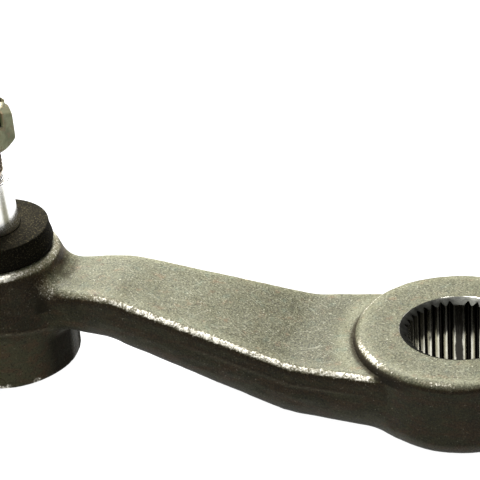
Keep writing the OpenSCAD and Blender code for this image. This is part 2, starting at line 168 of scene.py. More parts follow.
# %% Camera
picture_px = 480
focal_px = 1676.5
sensor_width = 36
boss_top_px = Vector((459.2, 327.2))
bearing, height_angle, roll = (math.radians(a) for a in (7.35, 32.2, -0.39))
camera_distance = 484.5 * mm

away = Vector((
    math.sin(bearing) * math.cos(height_angle),
    -math.cos(bearing) * math.cos(height_angle),
    math.sin(height_angle)))
bpy.ops.object.camera_add(location=boss_top + camera_distance * away)
camera = bpy.context.object
camera.data.sensor_width = sensor_width
camera.data.lens = focal_px * sensor_width / picture_px
offset = (boss_top_px - Vector((picture_px, picture_px)) / 2) / focal_px
straight_at = (-away).to_track_quat("-Z", "Y") @ Quaternion((0, 0, 1), roll)
off_centre = Vector((0, 0, -1)).rotation_difference(Vector((offset.x, -offset.y, -1)))
camera.rotation_mode = "QUATERNION"
camera.rotation_quaternion = straight_at @ off_centre.inverted()
bpy.context.scene.camera = camera
print("camera at", [round(c, 4) for c in camera.location], "lens", round(camera.data.lens, 1))

# %% [markdown]
# The studio is a white floor that glows a little, under three softboxes. The large one stands high
# behind the arm, on the left: it fills the top faces, draws a bright line along the upper edges and
# leaves the flanks dark, as in the photograph. A small one above and a narrow one in front only lift
# the shadows. Point lights would be harsher: the size of an area light sets how soft its highlight is.
# The floor sends no diffuse light up to the flanks, but bright steel still mirrors it. The plain view
# transform keeps the floor white.

# %% Floor and light
floor_size = 12
sky_strength = 0.04
arm_middle = Vector((ball.x / 2, 0, 20 * mm))
bpy.ops.mesh.primitive_plane_add(size=floor_size, location=(arm_middle.x, 0, cad_box[0].z))
floor = new_piece("floor")
floor.visible_diffuse = False


def softbox(name, place, size, watts):
    """An area light of a width and a height, pointed at the middle of the arm."""
    bpy.ops.object.light_add(type="AREA", location=place)
    light = bpy.context.object
    light.name = name
    light.data.shape = "RECTANGLE"
    light.data.size, light.data.size_y = size
    light.data.energy = watts
    light.rotation_mode = "QUATERNION"
    light.rotation_quaternion = (arm_middle - Vector(place)).to_track_quat("-Z", "Y")
    print(name, "of", watts, "W")


softbox("back_light", place=(-0.26, 0.32, 0.54), size=(0.42, 0.36), watts=15.5)
softbox("top_light", place=(-0.12, 0.0, 0.62), size=(0.22, 0.16), watts=1.7)
softbox("front_light", place=(-0.14, -0.42, 0.46), size=(0.3, 0.08), watts=1.0)

world = bpy.data.worlds.new("studio")
world.use_nodes = True
sky = world.node_tree.nodes["Background"]
sky.inputs["Color"].default_value = (1, 1, 1, 1)
sky.inputs["Strength"].default_value = sky_strength
bpy.context.scene.world = world
bpy.context.scene.view_settings.view_transform = "Standard"
print("floor at", round(cad_box[0].z / mm, 2), "mm")

# %% [markdown]
# A finish is a tree of shader nodes. Placed and linked one by one they would fill pages, while Python
# expressions stay readable: the class below wraps a socket, and +, -, * and / on it add the Math nodes.
# Any other node comes from one method.


# %% Shader expressions
class Value:
    """A node's output, to be used in expressions."""

    def __init__(self, socket):
        self.socket = socket
        self.tree = socket.id_data

    def math(self, operation, first, second=0.0):
        node = self.tree.nodes.new("ShaderNodeMath")
        node.operation = operation
        for socket, value in zip(node.inputs, (first, second)):
            join(self.tree, socket, value)
        return Value(node.outputs[0])

    def __add__(self, other):
        return self.math("ADD", self, other)

    def __radd__(self, other):
        return self.math("ADD", other, self)

    def __sub__(self, other):
        return self.math("SUBTRACT", self, other)

    def __rsub__(self, other):
        return self.math("SUBTRACT", other, self)

    def __mul__(self, other):
        return self.math("MULTIPLY", self, other)

    def __truediv__(self, other):
        return self.math("DIVIDE", self, other)

    def __pow__(self, other):
        return self.math("POWER", self, other)

    def __abs__(self):
        return self.math("ABSOLUTE", self)


def join(tree, socket, value):
    """Links a Value to a socket, or sets the socket to a number or colour."""
    if isinstance(value, Value):
        tree.links.new(value.socket, socket)
    else:
        if not isinstance(value, (int, float)) and len(value) == 3 and socket.type == "RGBA":
            value = (*value, 1)
        socket.default_value = value


class Finish:
    """A material under construction, around one Principled shader."""

    def __init__(self, name):
        self.material = bpy.data.materials.new(name)
        self.material.use_nodes = True
        self.tree = self.material.node_tree
        self.shader = self.tree.nodes["Principled BSDF"]
        self.place = self.node("ShaderNodeTexCoord", out="Object")

    def node(self, kind, settings=None, sockets=None, out=0):
        """Adds a node: settings first, then its sockets, and returns one output."""
        node = self.tree.nodes.new(kind)
        for key, value in (settings or {}).items():
            setattr(node, key, value)
        for key, value in (sockets or {}).items():
            join(self.tree, node.inputs[key], value)
        return Value(node.outputs[out])

    def noise(self, size, detail=2.0, roughness=0.5, place=None):
        """Noise whose blotches are about size metres across."""
        return self.node("ShaderNodeTexNoise", None, {
            "Vector": place or self.place, "Scale": 1 / size, "Detail": detail, "Roughness": roughness})

    def stretched(self, x, y, z):
        """The place with each axis multiplied, which makes a texture longer along the small ones."""
        return self.node("ShaderNodeVectorMath", {"operation": "MULTIPLY"}, {0: self.place, 1: (x, y, z)})

    def axis(self, name):
        """One coordinate of the place, in metres."""
        return self.node("ShaderNodeSeparateXYZ", None, {0: self.place}, out=name)

    def step(self, value, low, high):
        """0 before low, 1 past high and smooth between them. It falls where low is the larger one."""
        return self.node("ShaderNodeMapRange", {"interpolation_type": "SMOOTHSTEP"}, {
            "Value": value, "From Min": low, "From Max": high})

    def facing(self, name):
        """One coordinate of the direction that the surface faces, before any bump."""
        normal = self.node("ShaderNodeTexCoord", out="Normal")
        return self.node("ShaderNodeSeparateXYZ", None, {0: normal}, out=name)

    def scratches(self, turn):
        """A few thin lines of one direction, about ten millimetres long."""
        width, stretch = 0.4 * mm, 30
        turned = self.node("ShaderNodeMapping", {"vector_type": "TEXTURE"}, {
            "Vector": self.place, "Rotation": (0, 0, turn), "Scale": (1, stretch, stretch)})
        return self.step(self.noise(width, 1, 0.5, turned), 0.69, 0.77)

    def attribute(self, name):
        return self.node("ShaderNodeAttribute", {"attribute_name": name}, out="Fac")

    def mix(self, share, first, second):
        """A colour that goes from first to second."""
        return self.node("ShaderNodeMix", {"data_type": "RGBA"}, {0: share, 6: first, 7: second}, out=2)

    def layered(self, colour, *coats):
        """A colour under coats of others, each given with the share that it covers."""
        for share, coat in coats:
            colour = self.mix(share, colour, coat)
        return colour

    def scaled(self, colour, amount):
        """A colour made darker or lighter by a value."""
        return self.node("ShaderNodeVectorMath", {"operation": "SCALE"}, {0: colour, "Scale": amount})

    def bump(self, height, depth, normal=None):
        """A bumped normal. The height runs from 0 to 1, and depth is in metres."""
        sockets = {"Height": height, "Distance": depth, "Strength": 1.0}
        if normal:
            sockets["Normal"] = normal
        return self.node("ShaderNodeBump", None, sockets)

    def set(self, **sockets):
        """Sets the shader's own sockets, with _ for a space in their names."""
        for key, value in sockets.items():
            join(self.tree, self.shader.inputs[key.replace("_", " ")], value)
        return self.material


def dress(obj, *materials):
    """Gives obj these materials in place of its own."""
    obj.data.materials.clear()
    for material in materials:
        obj.data.materials.append(material)


# %% Floor paint
def floor_paint():
    """White, but for the shade under the front half of the boss, which the bore's upper half mirrors."""
    finish = Finish("floor_paint")
    x, y = finish.axis("X") + arm_middle.x, finish.axis("Y")
    from_bore = (x * x + y * y) ** 0.5
    under_boss = 1 - finish.step(from_bore, 18 * mm, 21 * mm)
    shade = under_boss * (1 - finish.step(y, -9 * mm, -5 * mm))
    return finish.set(
        Base_Color=(0.14, 0.14, 0.14), Roughness=0.9, Specular_IOR_Level=0.0,
        Emission_Color=finish.mix(shade, (1, 1, 1), (0, 0, 0)), Emission_Strength=1.0)


dress(floor, floor_paint())
print("floor painted")

# %% [markdown]
# The arm's skin is steel as it left the forging die, cleaned with shot and lightly oiled: an olive grey
# with green and warm patches, peppered with dark pits and bright specks, and brown on the flanks, which
# are also painted darker there as shade. A picture wrapped round the arm would show seams, so noise at
# several scales gives the patches, the streaks and the grain, and a bump of the same grain breaks the
# highlights up. Point attributes, which later steps write on the mesh, say where the skin is rubbed bare
# and painted with highlights, where it is painted with sheen or shade, and where the parting line runs.


# %% Colours of the forged skin
# Some of these stand for light and shade: the browns of the flanks and edges and the dark of the hollows are
# painted shade, and the tan and the bare steel are also a painted glow and highlight.
dark_olive, light_olive = (0.084, 0.082, 0.05), (0.108, 0.107, 0.07)
green_tint, warm_tint = (0.083, 0.1, 0.072), (0.128, 0.093, 0.056)
shaded_flank_brown, shaded_flank_rust, edge_shade_brown = (0.045, 0.042, 0.018), (0.062, 0.037, 0.016), (0.03, 0.02, 0.01)
pit_dark, painted_shade_dark = (0.03, 0.027, 0.017), (0.022, 0.018, 0.011)
speck_light, scratch_light, line_light = (0.32, 0.31, 0.23), (0.34, 0.33, 0.25), (0.3, 0.27, 0.18)
thin_tan_glow, bare_steel_and_highlight = (0.19, 0.172, 0.112), (0.78, 0.75, 0.65)


def skin_tones(finish, patches, tint, flank, under_edge_shade):
    """Olive with green and warm patches; on the flanks streaked with rust and painted darker as shade, and under
    the edges painted darkest as shade.
    """
    streaks = finish.step(finish.noise(2.5 * mm, 3, 0.6, finish.stretched(0.25, 1, 1)), 0.45, 0.65)
    return finish.layered(
        finish.mix(finish.step(patches, 0.3, 0.7), dark_olive, light_olive),
        ((1 - finish.step(tint, 0.25, 0.45)) * 0.6, green_tint),
        (finish.step(tint, 0.55, 0.75) * 0.75, warm_tint),
        (flank * 0.8, finish.mix(streaks, shaded_flank_brown, shaded_flank_rust)),
        (under_edge_shade * 0.85, edge_shade_brown))


print("forged skin from", dark_olive, "to", bare_steel_and_highlight)


# %% Forged steel
def forged_steel():
    finish = Finish("forged_steel")
    noise, step = finish.noise, finish.step
    patches, tint = noise(15 * mm, 3), noise(4 * mm, 3, 0.65)
    grain, dimples = noise(0.55 * mm, 3, 0.65), noise(1.1 * mm, 2)
    pits = step(noise(0.75 * mm, 2), 0.58, 0.7)
    specks = step(noise(0.45 * mm, 1), 0.62, 0.74)
    scratched = finish.scratches(0.9) + finish.scratches(-0.5) + finish.scratches(1.9)
    wear_and_highlight, painted_sheen, painted_shade, line = (
        finish.attribute(name) for name in ("edge_wear_and_highlight", "painted_sheen", "painted_shade", "parting_line"))

    # Which way the skin faces: it places the painted shade under the upper edges and the painted reflection along
    # the lower rim
    up = finish.facing("Z")
    flank = 1 - step(abs(up), 0.35, 0.85)
    under_edge_shade = step(up, 0.02, 0.2) * (1 - step(up, 0.34, 0.58))
    lower_rim_sheen = step(up, -0.03, -0.15) * (1 - step(up, -0.3, -0.5))

    # Darker on the arm before the boss, and lighter and mottled on the lower half of the socket
    along, height = finish.axis("X"), finish.axis("Z")
    darker_before_boss = step(along, -80 * mm, -45 * mm) * (1 - step(along, -36 * mm, -32 * mm))
    lighter_low_socket = (1 - step(along, -122 * mm, -117 * mm)) * (1 - step(height, 20 * mm, 25 * mm))
    # Painted light lifts the shade: the sheen on crests and before the boss's wall, and the reflection along the
    # lower rim
    shade = 0.5 + step(grain, 0.3, 0.7) * 0.9 + flank * (tint - 0.5) + painted_sheen * 0.4
    shade = shade - darker_before_boss * 0.2 + lighter_low_socket * (0.3 + patches * 1.4) + lower_rim_sheen * 0.5

    # Rubbing thins the skin to a tan and bares the steel on the high points of the grain; the tan is also a
    # painted glow and the bare steel a painted highlight
    rub_and_highlight = wear_and_highlight * (patches * 0.5 + tint * 0.9) + (grain - 0.5) * 1.5 + (dimples - 0.5) * 0.9
    bare_and_highlight = step(rub_and_highlight, 0.3, 0.95)
    thin = step(wear_and_highlight + (grain - 0.5) * 0.8, 0.12, 0.6)
    # Over the skin's own colours the layers paint shade in the hollows, and a glow and highlights on the worn
    # edges
    colour = finish.layered(
        finish.scaled(skin_tones(finish, patches, tint, flank, under_edge_shade), shade),
        (pits * 0.7, pit_dark),
        (specks * (0.6 - flank * 0.4), speck_light),
        (scratched * (1 - flank) * 0.3, scratch_light),
        (painted_shade * (0.4 + dimples), painted_shade_dark),
        (line * grain * 0.8, line_light),
        (thin * 0.7, thin_tan_glow),
        (bare_and_highlight, bare_steel_and_highlight))
    oil_film = step(along, -112 * mm, -104 * mm) * (flank * 0.05 + lower_rim_sheen * 0.18)
    return finish.set(
        Base_Color=colour, Metallic=bare_and_highlight * 0.6, Coat_Weight=oil_film, Coat_Roughness=0.25,
        Roughness=0.5 + (grain - 0.5) * 0.3 - bare_and_highlight * 0.12 + painted_shade * 0.4, Specular_IOR_Level=0.08,
        Normal=finish.bump(dimples, 0.12 * mm, finish.bump(grain, 0.06 * mm)))


arm_skin = forged_steel()
print("forged steel nodes:", len(arm_skin.node_tree.nodes))

# %% [markdown]
# In the die the steel flows into one soft form, with a fillet in every inner corner. Bevels on the CAD
# mesh would fail where the boss, the arm and the socket run into each other. The blank therefore starts
# as a merged copy of the CAD forging with its bores plugged: a voxel remesh makes it one even skin, and
# smoothing rounds what the die rounds. The bores are cut afterwards, so that they stay crisp.


# %% Forged blank
def copy_of(node, name):
    """A merged copy of a CAD node's mesh, in an object of its own."""
    obj = bpy.data.objects.new(name, nodes[node].data.copy())
    bpy.context.scene.collection.objects.link(obj)
    edit(obj, (bpy.ops.mesh.remove_doubles, {"threshold": 0.002 * mm}))
    bpy.ops.mesh.customdata_custom_splitnormals_clear()
    return obj


def cylinder(name, place, radius, z0, z1, sides=96):
    """An upright cylinder over a place, from one height to another."""
    bpy.ops.mesh.primitive_cylinder_add(
        vertices=sides, radius=radius, depth=z1 - z0, location=(place.x, place.y, (z0 + z1) / 2))
    return rest_at_origin(new_piece(name))


skin_step = 0.6 * mm
socket_bottom, socket_top = 4.9 * mm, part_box("arm_forging")[1].z
bore_plug_r, socket_plug_r = 17.4 * mm, 18.3 * mm
arm = copy_of("arm_forging", "forged_arm")
plugs = [
    cylinder("bore_plug", Vector((0, 0, 0)), bore_plug_r, 0, boss_top.z),
    cylinder("socket_plug", ball, socket_plug_r, socket_bottom, socket_top)]
pick(arm)
for plug in plugs:
    plug.select_set(True)
bpy.ops.object.join()
modify(arm, "REMESH", mode="VOXEL", voxel_size=skin_step, adaptivity=0)
modify(arm, "SMOOTH", factor=0.5, iterations=3)
print("blank:", triangles(arm), "triangles")

# %% [markdown]
# The boss stands up from the arm. Its upper edge is worn rounder on the side that faces the arm, and
# its wall meets the arm in a tight corner, which the remesh has blurred. A bevel keeps one width along
# an edge, so here the points move instead: those past the edge sink to an arc whose radius follows
# their direction, and those at the foot of the wall sink to the top of the arm.

# %% Boss edge
boss_r, arm_top, foot_reach, foot_left = 30.3, 20.9, 3.2, 0.08
sharp_edge_r, worn_edge_r, worn_side = 1.6, 3.0, math.radians(225)
points = points_of(arm) / mm
x, y, z = points.T
from_axis = np.hypot(x, y)
worn_share = np.clip(1.5 * np.cos(np.arctan2(y, x) - worn_side), 0, 1)
edge_r = sharp_edge_r + (worn_edge_r - sharp_edge_r) * worn_share
past_edge = np.clip(from_axis - boss_r + edge_r, 0, edge_r)
edge_z = boss_top.z / mm - edge_r + np.sqrt(edge_r ** 2 - past_edge ** 2)
raised = z > arm_top
on_top = raised & (from_axis < boss_r)
at_foot = raised & (from_axis > boss_r) & (from_axis < boss_r + foot_reach) & (x < 0)
z[:] = np.where(on_top, np.minimum(z, edge_z), z)
z[:] = np.where(at_foot, arm_top + foot_left * (z - arm_top), z)
set_points(arm, points * mm)
print("foot of the boss:", int(at_foot.sum()), "points")

# %% [markdown]
# Where the flanks run into the boss and the socket, the die leaves wide soft hollows. Smoothing all of
# the skin as much would melt the arm, so a vertex group limits it to the points near each crease. Cloud
# noise at two sizes then moves the whole skin in and out, as uneven as a forging.


# %% Soft creases
def ramp(value, zero, one):
    """0 at zero, 1 at one, and a straight rise or fall between them."""
    return np.clip((value - zero) / (one - zero), 0, 1)


def soften(obj, share, rounds):
    """Smooths each point by its share, from 0 to 1."""
    least_share = 0.01
    group = obj.vertex_groups.new(name="soft")
    for i in np.flatnonzero(share > least_share):
        group.add([int(i)], float(share[i]), "REPLACE")
    modify(obj, "SMOOTH", factor=0.5, iterations=rounds, vertex_group=group.name)
    obj.vertex_groups.clear()
    print(obj.name, "softened near", int((share > 0.5).sum()), "points")


def near_crease(crease_x, crease_y, reach):
    """1 near an upright crease, on both flanks alike, and 0 beyond its reach."""
    return ramp(np.hypot(x - crease_x, np.abs(y) - crease_y), reach, reach / 3)


x, y, z = points_of(arm).T / mm
boss_crease = near_crease(-16.4, 25.5, reach=13) * ramp(z, 18, 15)
socket_crease = near_crease(-119.6, 9.7, reach=11) * ramp(z, 19, 23)
soften(arm, boss_crease, rounds=120)
soften(arm, socket_crease, rounds=80)


# %% Uneven skin
def waves(obj, size, depth):
    """Moves the skin in and out along its normals by cloud noise."""
    clouds = bpy.data.textures.new("clouds", "CLOUDS")
    clouds.noise_scale = size
    modify(obj, "DISPLACE", texture=clouds, texture_coords="LOCAL", strength=depth, mid_level=0.5)
    bpy.data.textures.remove(clouds)
    print(obj.name, "moved by waves of", round(depth / mm, 2), "mm")


waves(arm, size=7 * mm, depth=0.3 * mm)
waves(arm, size=2 * mm, depth=0.06 * mm)
dress(arm, arm_skin)

# %% [markdown]
# Where the two halves of the die meet, a thin fin of steel squeezes out. It is trimmed off, and what is
# left is a faint ridge along the flanks and round the socket. A bead of its own would need joining to
# the skin, so the points near that line move out a little instead. Their share goes into a point
# attribute, by which the finish lightens the line.


# %% Parting line
def normals_of(obj):
    """The direction of the skin at each point."""
    normals = np.empty(len(obj.data.vertices) * 3)
    obj.data.vertex_normals.foreach_get("vector", normals)
    return normals.reshape(-1, 3)


def mark(obj, name, share):
    """Writes a share from 0 to 1 at each point, for the finish to read."""
    obj.data.attributes.new(name, "FLOAT", "POINT").data.foreach_set("value", share)
    print(obj.name, name, "on", int((share > 0.5).sum()), "of", len(share), "points")


line_z, line_bend_x, line_slope, line_ends, line_fade = 14.8, -45.8, 0.261, (-80, -22), 10
socket_line_z, socket_line_drop, socket_line_end = 25.0, 2.9 / 19 ** 2, -119
ridge_h, ridge_w, flank_share, flattest = 0.28, 0.4, 0.6, 0.6
points, normals = points_of(arm) / mm, normals_of(arm)
x, y, z = points.T
along_flank = np.clip(np.minimum(x - line_ends[0], line_ends[1] - x) / line_fade, 0, 1)
round_socket = np.clip(socket_line_end - x, 0, 1)
flank_line = line_z + line_slope * np.maximum(0, line_bend_x - x)
socket_line = socket_line_z - socket_line_drop * (x - ball.x / mm) ** 2
ridge = flank_share * along_flank * np.exp(-((z - flank_line) / ridge_w) ** 2)
ridge += round_socket * np.exp(-((z - socket_line) / ridge_w) ** 2)
ridge *= np.abs(normals[:, 2]) < flattest
set_points(arm, (points + normals * ridge[:, None] * ridge_h) * mm)
mark(arm, "parting_line", ridge)

# %% [markdown]
# The boss is broached for the shaft: thirty-six V grooves, four of them left out as wide master teeth
# that let the arm go on only one way. The cutter is a circle with four points to a pitch, moved to the
# corners of the grooves and pulled up into a solid, because one boolean cut is cleaner than thirty-six.
# Cones countersink both ends. A cut takes the cutter's material, so each tool carries its own finish.

# %% Cut steel
serrations, masters = 36, 4
groove_floor_r, tooth_tip_r = 31.75 / 2 * mm, 29.3 / 2 * mm
groove_mouth, groove_floor = 0.78, 0.12
master_turn = math.radians(7.4)
countersink_r, countersink_slope = 34.4 / 2 * mm, math.tan(math.radians(30))


def broached_steel():
    """Bright tooth tips with marks along the cut, and painted shade in the grooves and higher up in the bore."""
    finish = Finish("broached_steel")
    marks = finish.noise(0.35 * mm, 3, 0.6, finish.stretched(1, 1, 0.06))
    mottle = finish.noise(3 * mm, 3)
    x, y = finish.axis("X"), finish.axis("Y")
    in_grooves = finish.step((x * x + y * y) ** 0.5 + (mottle - 0.5) * 0.3 * mm, 15.0 * mm, 15.3 * mm)
    ragged = (mottle + marks - 1) * 8 * mm
    above = finish.step(finish.axis("Z") + ragged, 11.5 * mm, 15.5 * mm)
    # Painted shade: dark in the grooves and on the upper part of the bore
    painted_bore_shade = x.math("MAXIMUM", in_grooves, above * 0.95)

    # The wide master teeth keep their scale
    turn = (x.math("ARCTAN2", y, x) - master_turn) / math.tau
    from_master = x.math("PINGPONG", turn, 0.5 / masters) * serrations
    scale = 1 - finish.step(from_master + (mottle - 0.5) * 0.4, 0.36, 0.52)
    steel = finish.mix(finish.step(mottle, 0.35, 0.7), (0.62, 0.6, 0.49), (0.8, 0.78, 0.66))
    scaly = finish.mix(scale, steel, (0.04, 0.038, 0.032))
    return finish.set(
        Base_Color=finish.mix(painted_bore_shade, scaly, (0.012, 0.011, 0.009)), Metallic=1.0,
        Roughness=0.28 + (marks - 0.5) * 0.3, Normal=finish.bump(marks, 0.02 * mm))


def turned_steel():
    """Turned faces gone grey, with rings from the tool and a rim painted bright here and there as a highlight
    line.
    """
    finish = Finish("turned_steel")
    x, y = finish.axis("X"), finish.axis("Y")
    from_bore = (x * x + y * y) ** 0.5
    rings = finish.noise(0.3 * mm, 2, 0.6, finish.stretched(0.1, 0.1, 1))
    mottle = finish.noise(2 * mm, 3)
    # A painted highlight line round the rim, broken up by noise
    rim = finish.step(from_bore, 17.06 * mm, 17.16 * mm) * (1 - finish.step(from_bore, 18 * mm, 19 * mm))
    rim = rim * (0.3 + finish.step(mottle, 0.42, 0.55) * 0.7)
    grey = finish.mix(finish.step(mottle, 0.35, 0.65), (0.012, 0.012, 0.0095), (0.027, 0.027, 0.022))
    return finish.set(
        Base_Color=finish.mix(rim, grey, (0.5, 0.48, 0.42)), Metallic=0.8,
        Roughness=0.38 + (rings - 0.5) * 0.3, Normal=finish.bump(rings, 0.02 * mm))


broached, turned = broached_steel(), turned_steel()
print("cut steel:", broached.name, turned.name)

# %% Serrated bore
over = 2 * mm
bpy.ops.mesh.primitive_circle_add(vertices=serrations * 4, radius=tooth_tip_r, location=(0, 0, -over))
broach = rest_at_origin(new_piece("broach"))
corners = ((tooth_tip_r, -groove_mouth), (groove_floor_r, -groove_floor),
           (groove_floor_r, groove_floor), (tooth_tip_r, groove_mouth))
for i, vertex in enumerate(broach.data.vertices):
    groove, corner = divmod(i, 4)
    radius, share = corners[corner]
    if groove % (serrations // masters) == 0:
        radius = tooth_tip_r
    turn = master_turn + (groove + share / 2) * math.tau / serrations
    vertex.co = (radius * math.cos(turn), radius * math.sin(turn), -over)
broach_pull = {"value": (0, 0, boss_top.z + 2 * over)}
edit(broach,
     (bpy.ops.mesh.edge_face_add, {}),
     (bpy.ops.mesh.extrude_region_move, {"TRANSFORM_OT_translate": broach_pull}),
     (bpy.ops.mesh.normals_make_consistent, {}))
dress(broach, broached)
carve(arm, broach)
print("broached boss:", triangles(arm), "triangles")


# %% Countersinks
def countersink(face_z, up):
    """A cone that opens the bore's end, with its wide end past the face."""
    wide = countersink_r + over / countersink_slope
    depth = wide * countersink_slope
    bpy.ops.mesh.primitive_cone_add(
        vertices=144, radius1=0 if up else wide, radius2=wide if up else 0, depth=depth,
        location=(0, 0, face_z + (over - depth / 2) * (1 if up else -1)))
    cone = rest_at_origin(new_piece("countersink"))
    dress(cone, turned)
    return cone


carve(arm, countersink(boss_top.z, True))
carve(arm, countersink(0, False))
print("bored boss:", triangles(arm), "triangles")

# %% [markdown]
# The socket is turned out to take the ball from below: a wide bore, a ledge and a groove for the cover
# plate, and a mouth on top that opens with the stud's lean. A lathe turns a profile about an axis, and
# Blender's Spin does the same. The profile starts as a circle with one point for each corner. A corner
# may be rounded, by a short curve in its place.


# %% Lathe
def rounded(corners, steps=4):
    """Turns (radius, z, rounding) corners in millimetres into a profile in metres, with round corners."""
    profile = []
    for i, corner in enumerate(corners):
        here = Vector(corner[:2])
        size = corner[2] if len(corner) > 2 else 0
        if not size:
            profile.append(here * mm)
            continue
        before, after = Vector(corners[i - 1][:2]), Vector(corners[(i + 1) % len(corners)][:2])
        start = here + (before - here).normalized() * size
        end = here + (after - here).normalized() * size
        for j in range(steps + 1):
            t = j / steps
            profile.append(((1 - t) ** 2 * start + 2 * t * (1 - t) * here + t * t * end) * mm)
    return profile


def lathe(name, place, profile, steps=96):
    """Turns a closed profile about the upright line through a place."""
    bpy.ops.mesh.primitive_circle_add(vertices=len(profile), radius=mm)
    obj = rest_at_origin(new_piece(name))
    for vertex, (radius, z) in zip(obj.data.vertices, profile):
        vertex.co = (place.x + radius, place.y, z)
    turn = {"steps": steps, "angle": math.tau, "center": (place.x, place.y, 0), "axis": (0, 0, 1)}
    edit(obj,
         (bpy.ops.mesh.spin, turn),
         (bpy.ops.mesh.remove_doubles, {"threshold": 0.001 * mm}),
         (bpy.ops.mesh.delete_loose, {}),
         (bpy.ops.mesh.normals_make_consistent, {}))
    return obj


# %% Socket bore
bore_r, groove_r, lip_r, lip_flare = 16.5, 18.0, 16.2, 0.5
cover_bottom, cover_top, roof_z, mouth_low_r, mouth_high_r = 7.9, 10.9, 37.9, 11.2, 12.76
past_bottom, past_top = socket_bottom / mm - 2, socket_top / mm + 2
space = lathe("socket_space", ball, rounded([
    (0, past_bottom), (lip_r + lip_flare, past_bottom), (lip_r + lip_flare, socket_bottom / mm),
    (lip_r, cover_bottom), (groove_r, cover_bottom), (groove_r, cover_top), (bore_r, cover_top),
    (bore_r, roof_z), (mouth_low_r, roof_z), (mouth_high_r, socket_top / mm), (mouth_high_r, past_top),
    (0, past_top)]))
dress(space, turned)
carve(arm, space)
print("bored socket:", triangles(arm), "triangles")

# %% [markdown]
# Handling and the shot rub the skin off the edges first. The edges are also painted with highlights and
# sheen, and the hollows with shade. Painted by hand, that would not follow the shape, so it is measured:
# each point is compared with its neighbours. Where they lie below its tangent plane the skin bulges out,
# and where they lie above it there is a hollow. That curvature, averaged over a few rounds or many, goes
# into point attributes for worn and highlighted edges, painted shade and painted sheen, stronger where
# the photograph shows more of each.


# %% Curvature
def bends(obj, *rounds):
    """The curvature of the skin at each point, per millimetre, averaged for each number of rounds."""
    points, normals = points_of(obj) / mm, normals_of(obj)
    edges = np.empty(len(obj.data.edges) * 2, dtype=np.int32)
    obj.data.edges.foreach_get("vertices", edges)
    a, b = edges.reshape(-1, 2).T
    step = points[b] - points[a]
    length_2 = np.maximum((step ** 2).sum(1), 0.01)
    count = np.maximum(np.bincount(a, minlength=len(points)) + np.bincount(b, minlength=len(points)), 1)

    def gather(at_a, at_b):
        return (np.bincount(a, at_a, len(points)) + np.bincount(b, at_b, len(points))) / count

    bend = gather(-(normals[a] * step).sum(1) / length_2, (normals[b] * step).sum(1) / length_2)
    averaged = []
    for i in range(max(rounds)):
        bend = (bend + gather(bend[b], bend[a])) / 2
        if i + 1 in rounds:
            averaged.append(bend)
    return averaged


fine, medium, wide = bends(arm, 3, 8, 48)
print("sharpest bend:", round(float(medium.max()), 2), "per mm")

# %% Places on the arm
boss_reach, socket_reach, bore_reach = 31, 24, 18.5
x, y, z = points_of(arm).T / mm
up = normals_of(arm)[:, 2]
from_bore, from_ball = np.hypot(x, y), np.hypot(x - ball.x / mm, y)
round_bore = np.degrees(np.arctan2(y, x)) % 360
round_ball = np.degrees(np.arctan2(y, x - ball.x / mm)) % 360
on_boss, on_socket = from_bore < boss_reach, from_ball < socket_reach
outside_bore = from_bore > bore_reach


def near(angle, middle, zero, one):
    """1 within one degrees of a direction, 0 beyond zero degrees and a straight fall between them."""
    return ramp(np.abs(angle - middle), zero, one)


def by_part(boss, socket, between):
    """One value on the boss, one on the socket and one on the arm between them."""
    return np.where(on_boss, boss, np.where(on_socket, socket, between))


print("points on the boss:", int(on_boss.sum()), "and on the socket:", int(on_socket.sum()))

# %% Edge wear and painted highlights
# How much each part is rubbed and painted with highlights, by directions in degrees round the bore and round the
# ball
boss_rub_and_glint = near(round_bore, 216, 25, 10) + 0.45 * near(round_bore, 266, 16, 6)
boss_rub_and_glint += 0.5 * near(round_bore, 152, 30, 15)
socket_rub_and_glint = 0.5 + 1.1 * near(round_ball, 262, 60, 30)
arm_rub_and_glint = 0.35 + 0.65 * ramp(x, -108, -98)

# Only the band where the side turns into the top is worn through, and painted with highlights where it faces the
# light
lowest, highest = by_part(0.6, 0.42, 0.44), by_part(0.97, 1.2, 0.95)
bulge = ramp(medium, 0.03, 0.085)
worn_and_lit = bulge * by_part(boss_rub_and_glint, socket_rub_and_glint, arm_rub_and_glint)
worn_and_lit *= ramp(up, lowest, lowest + 0.12) * ramp(up, highest, highest - 0.1)

# Painted highlights on the shoulders where the arm meets the socket, and two knocks on the socket's lower rim
# painted bright as glints
shoulder_x, shoulder_y, shoulder_h = -121, 11, 33.3
from_shoulder = np.sqrt((x - shoulder_x) ** 2 + (np.abs(y) - shoulder_y) ** 2 + (z - shoulder_h) ** 2)
shoulder_highlight = ramp(from_shoulder, 6, 2) * ramp(up, 0.1, 0.3)
knocks_and_glints = np.maximum(near(round_ball, 285, 9, 4), near(round_ball, 312, 5, 2))
knocks_and_glints *= bulge * (z < 9) * (from_ball > 19) * on_socket
mark(arm, "edge_wear_and_highlight", np.maximum.reduce([worn_and_lit, 0.45 * shoulder_highlight, 0.8 * knocks_and_glints]))

